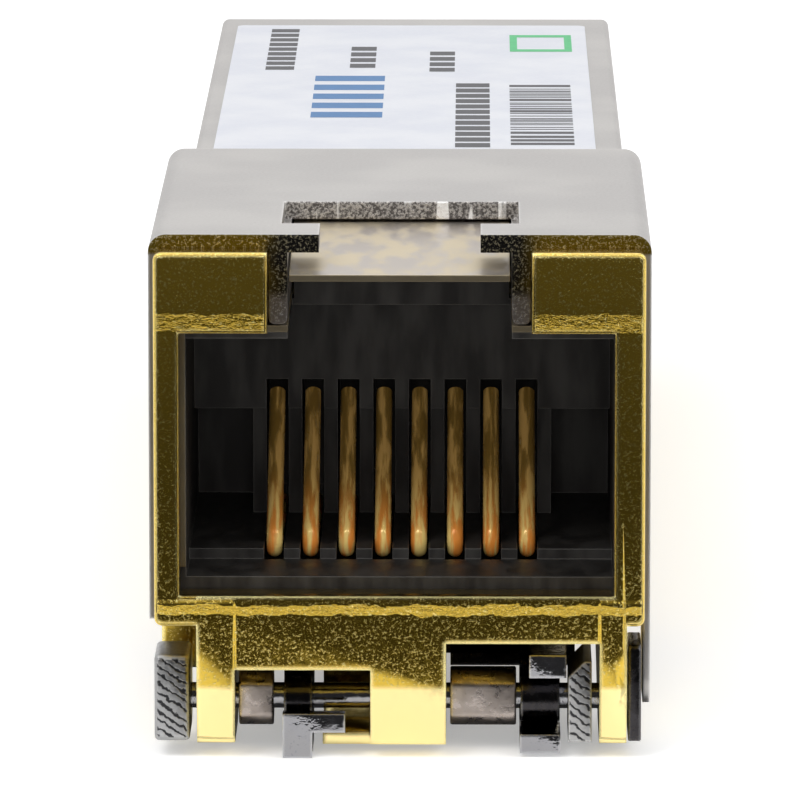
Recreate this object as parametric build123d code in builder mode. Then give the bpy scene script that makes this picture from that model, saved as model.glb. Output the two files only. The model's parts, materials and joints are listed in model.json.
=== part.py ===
from build123d import *
import os

# Copper network transceiver module with a modular-jack port at its front end.
# X runs across the module, Y from the port to the edge connector, Z up.
# The origin is under the middle of the module, level with the latch feet.
# Depths are counted rearward from the front face of the gold frame.

# Driving dimensions of the whole module
overall_length = 65.0
body_width = 13.4
body_height = 8.5
body_bottom = 3.6
nose_length = 17.5
nose_overhang = 0.25
nose_top = 14.6
nose_floor = 3.8
shell_wall = 0.5
fit_gap = 0.04
running_gap = 0.03

# Gold front frame
frame_inset = 0.17
frame_thickness = 1.1
frame_top = 14.25
frame_round = 0.22
port_margin_left = 0.7
port_margin_right = 0.85
port_bottom = 4.65
port_top = 12.0

# Legs below the frame
leg_bottom = 0.4
leg_reach = 3.3
web_thickness = 0.85
web_left_bottom = 2.57
web_right_bottom = 3.32
rib_ahead_of_step = 3.5
rib_end_bottom = 2.9
toe_height = 2.08
toe_slope = 0.35
toe_round = 0.3
shelf_width = 1.34
shelf_front = 1.05
shelf_bottom = 0.26
shelf_thickness = 0.34
pocket_wall = 0.4
pocket_top = 2.5
cheek_front = 3.6
cheek_rear = 5.0
cheek_bottom = 1.9
cheek_margin = 0.08

# Base tray behind the nose
tray_wall = 1.0
tray_floor = 1.0
nose_tray_top = 4.5
seam_height = 8.0
bottom_chamfer = 1.1
skirt_wall = 0.7
bottom_opening_from_rear = 10.4
boss_slot_half = 2.0
boss_slot_ahead = 7.5
boss_slot_behind = 4.2

# Silver cover
cover_rounding = 0.5
body_rounding = 0.25
step_edge = 0.2
slot_rear = 7.1
slot_neck_rear = 3.1
slot_half_past_rib = 0.2
slot_neck_narrowing = 0.87
rib_inner = 3.1
clip_gap_margin = 0.02
rib_thickness = 0.52
rib_bottom = 12.1
ear_thickness = 0.19
ear_bottom = 1.3
ear_length = 3.6
ear_round = 0.8

# Jack shield and insert
shield_sheet = 0.18
shield_margin = 0.59
shield_front = 1.14
shield_lip_low = 5.26
shield_lip_reach = 0.01
shield_top = 12.05
jack_ahead_of_step = 2.9
tongue_rear_top = 14.0
tongue_front_top = 13.55
tongue_front = 0.6
tongue_gap = 0.06
insert_lip = 0.42
plug_floor = 4.95
plug_ceiling = 11.65
cavity_back_wall = 2.2
floor_step_front = 3.9
floor_step_height = 0.3
comb_thickness = 3.5
comb_bottom = 8.35
comb_slot_width = 0.62
comb_slot_height = 1.7

# Spring contacts
contact_count = 8
contact_pitch = 1.016
contact_wire = 0.46
contact_front = 4.3
contact_low = 5.0
contact_tip_inset = 0.4
contact_tip_height = 8.75
contact_bend = 0.3
contact_board_land = 1.3

# Circuit board and its components
board_behind_jack = 0.8
board_from_bottom = 2.25
board_thickness = 1.0
board_margin = 1.2
board_tongue_margin = 2.1
board_from_rear = 3.2
board_shoulder_from_rear = 11.0
pad_count = 10
pad_pitch = 0.8
pad_width = 0.56
pad_length = 3.6
pad_thickness = 0.05
pad_setback = 0.4
board_edge_bevel = 0.25

# Small capacitors beside the line driver; lengths and places are shares of the board
capacitor_side = 0.864
capacitor_pitch = 0.041
capacitor_width = 0.145
capacitor_length = 0.026
capacitor_height = 0.7
capacitors_per_row = 4

# Cover screws
screw_shares = (0.315, 0.724)
screw_radius = 0.8
screw_head_radius = 1.45
screw_length = 6.2
screw_slot_depth = 0.3
screw_slot_length = 1.5
screw_slot_width = 0.34
screw_head_sunk = 0.02
post_radius = 1.9

# Label
label_thickness = 0.08
label_margin_left = 0.6
label_margin_right = 0.85
label_behind_nose = 6.1
label_from_rear = 2.2
label_round = 0.3

# Release pin, its arms, sleeves and cams
pin_radius = 0.36
pin_depth = 2.0
pin_height = 1.45
arm_front = 0.35
arm_rear = 3.0
arm_bottom = 0.47
arm_round = 0.4
arm_left_top = 2.92
arm_inner_top = 2.75
arm_outer_top = 3.2
arm_slant = 0.45
sleeve_radius = 0.82
sleeve_flat = 0.7
cam_radius = 0.62
cam_throw = 0.42

# Latch rocker
pivot_depth = 8.0
pivot_height = 2.6
pivot_radius = 0.4
rocker_plate = 0.8
rocker_tail_half = 1.6
rocker_front = 4.2
rocker_shoulder = 2.5
rocker_bend = 4.6
rocker_rise_end = 3.0
hook_jaw_thickness = 0.65
hook_mouth_half = 0.8
hook_front = 0.5
hook_wall = 0.8
mouth_round = 0.35
foot_front = 0.35
foot_depth = 0.45
foot_bar_low = 0.73
foot_bar_high = 1.26
hook_upper_shift = 0.26
hook_upper_overhang = 0.16
hook_tip_relief = 0.12
hook_root = 0.5
plate_corner = 0.6
barrel_wall = 0.45
latch_behind_nose = 2.5
boss_length = 2.6
boss_width = 2.6
boss_drop = 0.55
boss_crest = 0.5
tail_past_boss = 0.4
tail_sink = 0.05

# Latch spring
spring_radius = 0.75
spring_wire = 0.2
spring_turns = 2.5
spring_behind_pivot = 3.3
spring_pocket = 0.4

front_y = -overall_length / 2
body_top = body_bottom + body_height
body_half = body_width / 2
nose_half = body_half + nose_overhang
nose_width = 2 * nose_half
frame_half = nose_half - frame_inset
port_left = frame_half - port_margin_left
port_right = frame_half - port_margin_right
clip_gap_half = rib_inner + rib_thickness + clip_gap_margin
slot_half = rib_inner + slot_half_past_rib
slot_neck_half = rib_inner - slot_neck_narrowing
shield_half = nose_half - shield_margin
shield_inner = shield_half - shield_sheet
insert_half = shield_inner - fit_gap
insert_front = shield_front + shield_sheet + fit_gap

# Places along the jack
jack_rear = nose_length - jack_ahead_of_step
plug_depth = jack_rear - cavity_back_wall
comb_front = plug_depth - comb_thickness
contact_tip_depth = comb_front + contact_tip_inset
rib_end = nose_length - rib_ahead_of_step


def span(left, right):
    """Left and right side of a piece, given as shares of half the frame's width."""
    return (left * frame_half, right * frame_half)


# Sides of the legs, and of the pieces on the pin between and beside them
leg_left = span(-0.829, -0.673)
leg_middle = span(-0.119, 0.19)
leg_right = span(0.817, 0.929)
arm_left = span(-1.003, -0.858)
arm_inner = span(0.69, 0.786)
arm_outer = span(0.935, 0.988)
sleeve_left = span(-0.661, -0.519)
sleeve_right = span(0.207, 0.478)
hook_left = span(-0.479, -0.357)
hook_right = span(0.492, 0.659)
hook_bar = span(-0.479, -0.223)
rocker_sides = span(-0.634, 0.634)

# Places along the module: latch, board and screws
latch_shoulder = nose_length + latch_behind_nose
boss_slot_front = latch_shoulder - boss_slot_ahead
boss_slot_rear = latch_shoulder + boss_slot_behind
spring_depth = pivot_depth + spring_behind_pivot
board_front = jack_rear + board_behind_jack
board_bottom = body_bottom + board_from_bottom
board_top = board_bottom + board_thickness
board_rear = overall_length - board_from_rear
board_length = board_rear - board_front
headroom = body_top - shell_wall - board_top
board_half = body_half - board_margin
board_tongue_half = body_half - board_tongue_margin
screw_depths = [board_front + share * board_length for share in screw_shares]


def back(depth):
    """Y of a point that lies at this depth behind the front face."""
    return front_y + depth


def front_plane(depth):
    """Plane across the module at a depth; a negative extrusion runs rearward."""
    return Plane.XZ.offset(-back(depth))


def side_plane(x):
    """Plane along the module at an X; an extrusion runs to the right."""
    return Plane.YZ.offset(x)


def patch(left, right, low, high, mode=Mode.ADD):
    """Rectangle between two sides and two levels in the sketch in use."""
    with Locations(((left + right) / 2, (low + high) / 2)):
        Rectangle(right - left, high - low, mode=mode)


def side_patch(near, far, low, high, mode=Mode.ADD):
    """Rectangle between two depths and two levels in a side sketch."""
    patch(back(near), back(far), low, high, mode)


# The gold casting: frame round the port, floor, legs and rear tray.
with BuildPart() as base_housing:
    with BuildSketch(front_plane(0)) as frame_face:
        patch(-frame_half, frame_half, nose_floor, frame_top)
        fillet(frame_face.vertices(), frame_round)
        patch(-port_left, port_right, port_bottom, port_top, Mode.SUBTRACT)
        patch(-clip_gap_half, clip_gap_half, port_top - 0.1, frame_top + 0.1, Mode.SUBTRACT)
    extrude(amount=-frame_thickness)
    fillet(base_housing.faces().sort_by(Axis.Y)[0].outer_wire().edges(), frame_round / 2)

    # Floor of the nose, as wide as the jack shield that stands on it
    with BuildSketch(front_plane(frame_thickness)):
        patch(-shield_half, shield_half, nose_floor, nose_tray_top)
    extrude(amount=-(nose_length - frame_thickness))

    # Tray of the rear body, open upward, with chamfered lower corners
    with BuildSketch(front_plane(nose_length)) as tray_section:
        patch(-body_half, body_half, body_bottom, seam_height)
        chamfer(tray_section.vertices().group_by(Axis.Y)[0], bottom_chamfer)
        step_half = body_half - shell_wall - fit_gap
        patch(-step_half, step_half, seam_height, body_top - shell_wall - fit_gap)
        tray_half = body_half - tray_wall
        patch(-tray_half, tray_half, body_bottom + tray_floor, body_top, Mode.SUBTRACT)
    extrude(amount=-(overall_length - nose_length))

    # The bottom is open under the edge connector, and the side walls thin to skirts
    with BuildSketch(front_plane(overall_length - bottom_opening_from_rear)):
        opening_half = body_half - bottom_chamfer
        patch(-opening_half, opening_half, body_bottom - 1, board_bottom)
    extrude(amount=-bottom_opening_from_rear - 1, mode=Mode.SUBTRACT)
    with BuildSketch(front_plane(overall_length - bottom_opening_from_rear)):
        skirt_inner = body_half - skirt_wall
        patch(-skirt_inner, skirt_inner, body_bottom + bottom_chamfer, seam_height)
    extrude(amount=-bottom_opening_from_rear - 1, mode=Mode.SUBTRACT)

    # Web below the port sill, lower at the left than at the right
    with BuildSketch(front_plane(0)):
        patch(leg_left[0], leg_middle[0], web_left_bottom, port_bottom)
        patch(leg_middle[0], leg_right[1], web_right_bottom, port_bottom)
    extrude(amount=-web_thickness)

    # Outer legs run back as ribs that rise towards the body
    for leg in (leg_left, leg_right):
        with BuildSketch(side_plane(leg[0])) as rib_side:
            with BuildLine():
                Polyline(
                    (back(0), port_bottom),
                    (back(0), toe_height),
                    (back(toe_slope), leg_bottom),
                    (back(leg_reach), leg_bottom),
                    (back(rib_end), rib_end_bottom),
                    (back(rib_end), nose_tray_top),
                    (back(frame_thickness), nose_tray_top),
                    (back(frame_thickness), port_bottom),
                    close=True,
                )
            make_face()
            fillet(rib_side.vertices().group_by(Axis.Y)[0].sort_by(Axis.X)[0], toe_round)
        extrude(amount=leg[1] - leg[0])

    # The middle leg holds the pin and carries a small shelf at its left
    with BuildSketch(side_plane(leg_middle[0])):
        with BuildLine():
            Polyline(
                (back(0), port_bottom),
                (back(0), toe_height),
                (back(toe_slope), leg_bottom),
                (back(leg_reach), leg_bottom),
                (back(leg_reach), nose_tray_top),
                (back(frame_thickness), nose_tray_top),
                (back(frame_thickness), port_bottom),
                close=True,
            )
        make_face()
    extrude(amount=leg_middle[1] - leg_middle[0])
    with BuildSketch(side_plane(leg_middle[0] - shelf_width)):
        side_patch(shelf_front, leg_reach, shelf_bottom, shelf_bottom + shelf_thickness)
        side_patch(leg_reach - pocket_wall, leg_reach, shelf_bottom, pocket_top)
    extrude(amount=leg_middle[1] - leg_middle[0] + shelf_width)

    # Cheek behind the left bail stub
    with BuildSketch(side_plane(-frame_half + cheek_margin)):
        side_patch(cheek_front, cheek_rear, cheek_bottom, nose_floor - fit_gap)
    extrude(amount=leg_left[0] + frame_half - cheek_margin)

    # Bores for the release pin and the rocker's pivot pin
    with BuildSketch(side_plane(-nose_half)):
        with Locations((back(pin_depth), pin_height)):
            Circle(pin_radius + running_gap)
        with Locations((back(pivot_depth), pivot_height)):
            Circle(pivot_radius + fit_gap)
    extrude(amount=nose_width, mode=Mode.SUBTRACT)

    # Slot in the floor through which the latch boss drops
    with BuildSketch(Plane.XY.offset(body_bottom - 1)):
        patch(-boss_slot_half, boss_slot_half, back(boss_slot_front), back(boss_slot_rear))
    extrude(amount=1 + tray_floor + 0.1, mode=Mode.SUBTRACT)

    # Pocket that keeps the latch spring in place
    with BuildSketch(Plane.XY.offset(nose_floor)):
        with Locations((0, back(spring_depth))):
            Circle(spring_radius + spring_wire)
    extrude(amount=spring_pocket, mode=Mode.SUBTRACT)

    # Bosses and holes for the two cover screws
    for depth in screw_depths:
        with BuildSketch(Plane.XY.offset(body_bottom + tray_floor)):
            with Locations((0, back(depth))):
                Circle(post_radius)
        extrude(amount=board_bottom - fit_gap - body_bottom - tray_floor)
    with Locations(*[(0, back(depth), body_bottom) for depth in screw_depths]):
        with Locations(Rotation(180, 0, 0)):
            CounterSinkHole(screw_radius + fit_gap, screw_head_radius + fit_gap)
base_housing.part.label = "base_housing"

# The silver cover: nose hood with a T-shaped slot, body lid and its skirts.
with BuildPart() as top_cover:
    with BuildSketch(front_plane(frame_thickness)) as hood_section:
        patch(-nose_half, nose_half, nose_floor, nose_top)
        fillet(hood_section.vertices().group_by(Axis.Y)[-1], cover_rounding)
        hood_inner = nose_half - shell_wall
        patch(-hood_inner, hood_inner, nose_floor - 1, nose_top - shell_wall, Mode.SUBTRACT)
    extrude(amount=-(nose_length - frame_thickness))

    # Rear wall of the hood, where it steps down to the body
    with BuildSketch(front_plane(nose_length - shell_wall)):
        patch(-hood_inner, hood_inner, body_top - shell_wall, nose_top - shell_wall)
        patch(-hood_inner, -shield_half - fit_gap, nose_floor, body_top)
        patch(shield_half + fit_gap, hood_inner, nose_floor, body_top)
    extrude(amount=-shell_wall)
    hood_top = top_cover.faces().filter_by(Axis.Z).sort_by(Axis.Z)[-1]
    chamfer(hood_top.edges().filter_by(Axis.X).sort_by(Axis.Y)[-1], step_edge)

    # Lid and skirts of the rear body
    with BuildSketch(front_plane(nose_length)) as lid_section:
        patch(-body_half, body_half, seam_height + fit_gap, body_top)
        fillet(lid_section.vertices().group_by(Axis.Y)[-1], body_rounding)
        lid_inner = body_half - shell_wall
        patch(-lid_inner, lid_inner, seam_height - 1, body_top - shell_wall, Mode.SUBTRACT)
    extrude(amount=-(overall_length - nose_length))

    # T-shaped slot over the jack's clip channel
    with BuildSketch(Plane.XY.offset(nose_top - shell_wall)):
        patch(-slot_neck_half, slot_neck_half, back(0), back(slot_neck_rear))
        patch(-slot_half, slot_half, back(slot_neck_rear), back(slot_rear))
    extrude(amount=shell_wall + 1, mode=Mode.SUBTRACT)

    # Ribs that hang beside the clip channel
    for side in (-1, 1):
        with BuildSketch(front_plane(frame_thickness)) as rib_face:
            outer = side * (rib_inner + rib_thickness)
            inner = side * rib_inner
            patch(min(outer, inner), max(outer, inner), rib_bottom, nose_top - shell_wall)
            fillet(rib_face.vertices().group_by(Axis.Y)[0], rib_thickness / 3)
        extrude(amount=-(slot_rear + rib_thickness - frame_thickness))

    # Thin ear over the right end of the release pin
    with BuildSketch(side_plane(nose_half - ear_thickness)) as ear_side:
        side_patch(frame_thickness, frame_thickness + ear_length, ear_bottom, nose_floor)
        fillet(ear_side.vertices().group_by(Axis.Y)[0], ear_round)
    extrude(amount=ear_thickness)

    # Posts for the two screws, hanging from the lid to the circuit board
    for depth in screw_depths:
        with BuildSketch(Plane.XY.offset(board_top + fit_gap)):
            with Locations((0, back(depth))):
                Circle(post_radius)
                Circle(screw_radius, mode=Mode.SUBTRACT)
        extrude(amount=body_top - shell_wall - board_top - fit_gap)
top_cover.part.label = "top_cover"

# Sheet-metal shield folded round the jack, with a tongue over the clip channel.
channel_half = rib_inner - tongue_gap
with BuildPart() as jack_shield:
    with BuildSketch(front_plane(shield_front)):
        patch(-shield_half, shield_half, nose_tray_top, shield_top)
        patch(-shield_inner, shield_inner, nose_tray_top - 1, shield_top - shield_sheet, Mode.SUBTRACT)
    extrude(amount=-(jack_rear - shield_front))

    # Narrow lip folded inward at the left of the port
    with BuildSketch(front_plane(shield_front)):
        patch(-shield_half, -port_right - shield_lip_reach, shield_lip_low, shield_top)
    extrude(amount=-shield_sheet)

    # Raised box over the rear of the clip channel, opened below and at the front
    with BuildSketch(front_plane(slot_rear + insert_lip + fit_gap)):
        patch(-channel_half, channel_half, shield_top - shield_sheet, tongue_rear_top)
    extrude(amount=-(jack_rear - slot_rear - insert_lip - fit_gap))
    with BuildSketch(front_plane(shield_front)):
        clear_half = channel_half - shield_sheet
        patch(-clear_half, clear_half, shield_top - 1, tongue_rear_top - shield_sheet)
    extrude(amount=-(jack_rear - shield_front), mode=Mode.SUBTRACT)
    with BuildSketch(front_plane(0)):
        patch(-channel_half - tongue_gap, channel_half + tongue_gap, shield_top - 1, shield_top + 0.1)
    extrude(amount=-slot_rear - insert_lip - fit_gap, mode=Mode.SUBTRACT)

    # Tongue that slopes down to the port
    with BuildSketch(side_plane(-channel_half)):
        with BuildLine():
            Polyline(
                (back(tongue_front), tongue_front_top),
                (back(slot_rear), tongue_rear_top),
                (back(jack_rear), tongue_rear_top),
                (back(jack_rear), tongue_rear_top - shield_sheet),
                (back(slot_rear), tongue_rear_top - shield_sheet),
                (back(tongue_front), tongue_front_top - shield_sheet),
                close=True,
            )
        make_face()
    extrude(amount=2 * channel_half)
jack_shield.part.label = "jack_shield"

# Black jack insert: plug cavity, clip channel and the comb that spaces the contacts.
contact_span = (contact_count - 1) * contact_pitch
insert_top = shield_top - shield_sheet - fit_gap
insert_floor = nose_tray_top + fit_gap
with BuildPart() as jack_insert:
    with BuildSketch(front_plane(insert_front)):
        patch(-insert_half, insert_half, insert_floor, insert_top)
    extrude(amount=-(jack_rear - insert_front))
    raised_top = tongue_rear_top - shield_sheet - fit_gap
    with BuildSketch(front_plane(slot_rear)):
        raised_half = channel_half - shield_sheet - fit_gap
        patch(-raised_half, raised_half, insert_top, raised_top)
    extrude(amount=-(jack_rear - slot_rear))
    with BuildSketch(front_plane(slot_rear)):
        patch(-channel_half, channel_half, insert_top, raised_top)
    extrude(amount=-insert_lip)

    # Cavity for the plug, and the slot for its clip in the ceiling
    with BuildSketch(front_plane(0)):
        patch(-port_right, port_right, plug_floor, plug_ceiling)
    extrude(amount=-plug_depth, mode=Mode.SUBTRACT)
    with BuildSketch(front_plane(0)):
        patch(-rib_inner, rib_inner, plug_ceiling - 0.1, insert_top + 1)
    extrude(amount=-slot_rear, mode=Mode.SUBTRACT)

    # Raised ledge at the foot of the contacts
    with BuildSketch(front_plane(floor_step_front)):
        patch(-port_right, port_right, plug_floor, plug_floor + floor_step_height)
    extrude(amount=-(plug_depth - floor_step_front))

    # Comb bar across the back of the cavity, with one slot for each contact
    with BuildSketch(front_plane(comb_front)):
        patch(-port_right, port_right, comb_bottom, plug_ceiling)
    extrude(amount=-(plug_depth - comb_front))
    with BuildSketch(front_plane(comb_front)):
        with Locations((0, comb_bottom)):
            with GridLocations(contact_pitch, 0, contact_count, 1):
                Rectangle(comb_slot_width, comb_slot_height)
    extrude(amount=-(plug_depth - comb_front), mode=Mode.SUBTRACT)

    # Ribs between the contacts below the comb
    with BuildSketch(front_plane(contact_tip_depth)):
        with Locations((0, (plug_floor + comb_bottom) / 2)):
            with GridLocations(contact_pitch, 0, contact_count + 1, 1):
                Rectangle(contact_pitch - comb_slot_width, comb_bottom - plug_floor)
    extrude(amount=-(plug_depth - contact_tip_depth))

    # Grooves in which the contacts lie, from the ledge to the rear face
    with BuildSketch(front_plane(contact_front - contact_wire)):
        with Locations((0, contact_low + contact_wire / 4)):
            with GridLocations(contact_pitch, 0, contact_count, 1):
                Rectangle(contact_wire + 0.1, contact_wire * 1.5 + 0.1)
    extrude(amount=-(jack_rear - contact_front + contact_wire + 1), mode=Mode.SUBTRACT)
jack_insert.part.label = "jack_insert"

# Spring contacts: each lies in the floor, folds up at the front and leans back to the comb.
os.makedirs("parts", exist_ok=True)
contact_high = board_top + contact_wire / 2 + fit_gap
contact_drop = (jack_rear + board_front) / 2
contacts = {}
for index in range(contact_count):
    contact_x = (index - (contact_count - 1) / 2) * contact_pitch
    with BuildPart() as contact:
        with BuildLine(Plane.YZ.offset(contact_x)) as wire_path:
            FilletPolyline(
                (back(board_front + contact_board_land), contact_high),
                (back(contact_drop), contact_high),
                (back(contact_drop), contact_low),
                (back(contact_front), contact_low),
                (back(contact_tip_depth), contact_tip_height),
                radius=contact_bend,
            )
        with BuildSketch(Plane(origin=wire_path.wire() @ 0, z_dir=wire_path.wire() % 0)):
            Circle(contact_wire / 2)
        sweep()
    contact.part.label = f"contact_{index + 1}"
    contacts[contact.part.label] = contact.part

# Circuit board, narrowing to the edge-connector tongue.
with BuildPart() as circuit_board:
    with BuildSketch(Plane.XY.offset(board_bottom)) as board_outline:
        shoulder = overall_length - board_shoulder_from_rear
        patch(-board_half, board_half, back(board_front), back(shoulder))
        patch(-board_tongue_half, board_tongue_half, back(shoulder), back(board_rear))
        with Locations(*[(0, back(depth)) for depth in screw_depths]):
            Circle(screw_radius + fit_gap, mode=Mode.SUBTRACT)
    extrude(amount=board_thickness)
    chamfer(circuit_board.faces().sort_by(Axis.Y)[-1].edges().filter_by(Axis.X), board_edge_bevel)
circuit_board.part.label = "circuit_board"

# Contact pads on both faces of the tongue.
with BuildPart() as edge_pads:
    pad_middle = back(board_rear - pad_setback - pad_length / 2)
    for level in (board_top, board_bottom - pad_thickness):
        with BuildSketch(Plane.XY.offset(level)):
            with Locations((0, pad_middle)):
                with GridLocations(pad_pitch, 0, pad_count, 1):
                    Rectangle(pad_width, pad_length)
        extrude(amount=pad_thickness)
edge_pads.part.label = "edge_pads"


def component(name, side, share, width, length, rise):
    """Moulded component on the board, with rounded upright corners and a bevelled top."""
    height = rise * headroom
    with BuildPart() as body:
        with BuildSketch(Plane.XY.offset(board_top)):
            with Locations((side * board_half, back(board_front + share * board_length))):
                RectangleRounded(2 * width * board_half, length * board_length, height / 6)
        extrude(amount=height)
        chamfer(body.faces().sort_by(Axis.Z)[-1].edges(), height / 6)
    body.part.label = name
    return body.part


# Each line gives the middle, width and length as shares of the board, and the height
# as a share of the room under the lid
components = [
    component("magnetics_module", 0.0, 0.155, 0.855, 0.194, 0.884),
    component("line_driver_chip", 0.0, 0.487, 0.727, 0.172, 0.19),
    component("memory_chip", -0.582, 0.672, 0.236, 0.069, 0.168),
    component("crystal_can", 0.618, 0.668, 0.218, 0.069, 0.147),
    component("power_regulator", -0.545, 0.78, 0.255, 0.052, 0.19),
    component("power_inductor", 0.582, 0.776, 0.273, 0.065, 0.316),
]

# Small capacitors stand in two rows beside the line driver.
with BuildPart() as capacitors:
    with BuildSketch(Plane.XY.offset(board_top)):
        row_x = capacitor_side * board_half
        row_y = back(sum(screw_depths) / 2)
        with Locations((-row_x, row_y), (row_x, row_y)):
            with GridLocations(0, capacitor_pitch * board_length, 1, capacitors_per_row):
                Rectangle(capacitor_width * board_half, capacitor_length * board_length)
    extrude(amount=capacitor_height)
capacitors.part.label = "capacitors"

# Countersunk screws that hold the base, board and cover together.
screws = {}
for index, depth in enumerate(screw_depths):
    with BuildPart() as screw:
        head_face = body_bottom + screw_head_sunk
        head_height = screw_head_radius - screw_radius
        with BuildSketch(Plane.YZ):
            with BuildLine():
                Polyline(
                    (back(depth), head_face),
                    (back(depth) + screw_head_radius, head_face),
                    (back(depth) + screw_radius, head_face + head_height),
                    (back(depth) + screw_radius, body_bottom + screw_length),
                    (back(depth), body_bottom + screw_length),
                    close=True,
                )
            make_face()
        revolve(axis=Axis((0, back(depth), 0), (0, 0, 1)))
        with BuildSketch(Plane.XY.offset(body_bottom)):
            with Locations((0, back(depth))):
                Rectangle(screw_slot_length, screw_slot_width)
                Rectangle(screw_slot_width, screw_slot_length)
        extrude(amount=screw_slot_depth, mode=Mode.SUBTRACT)
    screw.part.label = f"cover_screw_{index + 1}"
    screws[screw.part.label] = screw.part

# Bare label on the lid.
with BuildPart() as label:
    with BuildSketch(Plane.XY.offset(body_top)) as label_outline:
        label_front = back(nose_length + label_behind_nose)
        label_rear = back(overall_length - label_from_rear)
        patch(label_margin_left - body_half, body_half - label_margin_right, label_front, label_rear)
        fillet(label_outline.vertices(), label_round)
    extrude(amount=label_thickness)
label.part.label = "label"

# Release pin that turns in the three legs.
with BuildPart() as release_pin:
    with BuildSketch(side_plane(arm_left[0])):
        with Locations((back(pin_depth), pin_height)):
            Circle(pin_radius)
    extrude(amount=arm_outer[1] - arm_left[0])
release_pin.part.label = "release_pin"


def pin_plate(name, span, top, slant=0.0):
    """Upright stub of the release bail, pressed on the pin and cut off at the front."""
    with BuildPart() as plate:
        with BuildSketch(side_plane(span[0])) as side:
            side_patch(arm_front, arm_rear, arm_bottom, top)
            if not slant:
                fillet(side.vertices().group_by(Axis.X)[-1], arm_round * 2)
            with Locations((back(pin_depth), pin_height)):
                Circle(pin_radius + fit_gap / 2, mode=Mode.SUBTRACT)
        extrude(amount=span[1] - span[0])
        if slant:
            top_edges = plate.edges().filter_by(Axis.Y).group_by(Axis.Z)[-1]
            chamfer(top_edges.sort_by(Axis.X)[0], slant)
        else:
            front_face = plate.faces().sort_by(Axis.Y)[0]
            fillet(front_face.edges().filter_by(Axis.X), arm_round / 2)
    plate.part.label = name
    return plate.part


def pin_sleeve(name, span):
    """Spacing sleeve on the release pin, with a flat that faces the port side."""
    with BuildPart() as sleeve:
        with BuildSketch(side_plane(span[0])):
            with Locations((back(pin_depth), pin_height)):
                Circle(sleeve_radius)
            side_patch(0, pin_depth - sleeve_flat, 0, web_left_bottom + 1, Mode.SUBTRACT)
            with Locations((back(pin_depth), pin_height)):
                Circle(pin_radius + fit_gap / 2, mode=Mode.SUBTRACT)
        extrude(amount=span[1] - span[0])
    sleeve.part.label = name
    return sleeve.part


def pin_cam(name, span):
    """Eccentric on the release pin that pushes the lower jaw of a rocker hook."""
    with BuildPart() as cam:
        with BuildSketch(side_plane(span[0] + running_gap)):
            with Locations((back(pin_depth - cam_throw), pin_height)):
                Circle(cam_radius)
            with Locations((back(pin_depth), pin_height)):
                Circle(pin_radius + 2 * fit_gap)
                Circle(pin_radius + fit_gap / 2, mode=Mode.SUBTRACT)
        extrude(amount=span[1] - span[0] - 2 * running_gap)
    cam.part.label = name
    return cam.part


bail_pieces = [
    pin_plate("bail_arm_left", arm_left, arm_left_top),
    pin_plate("bail_arm_inner", arm_inner, arm_inner_top, slant=arm_slant),
    pin_plate("bail_arm_right", arm_outer, arm_outer_top),
    pin_sleeve("pin_sleeve_left", sleeve_left),
    pin_sleeve("pin_sleeve_right", sleeve_right),
    pin_cam("cam_left", hook_left),
    pin_cam("cam_right", hook_right),
]

# Pivot pin of the rocker, fixed in the two ribs.
with BuildPart() as rocker_pivot:
    with BuildSketch(side_plane(leg_left[0])):
        with Locations((back(pivot_depth), pivot_height)):
            Circle(pivot_radius)
    extrude(amount=leg_right[1] - leg_left[0])
rocker_pivot.part.label = "rocker_pivot"

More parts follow.
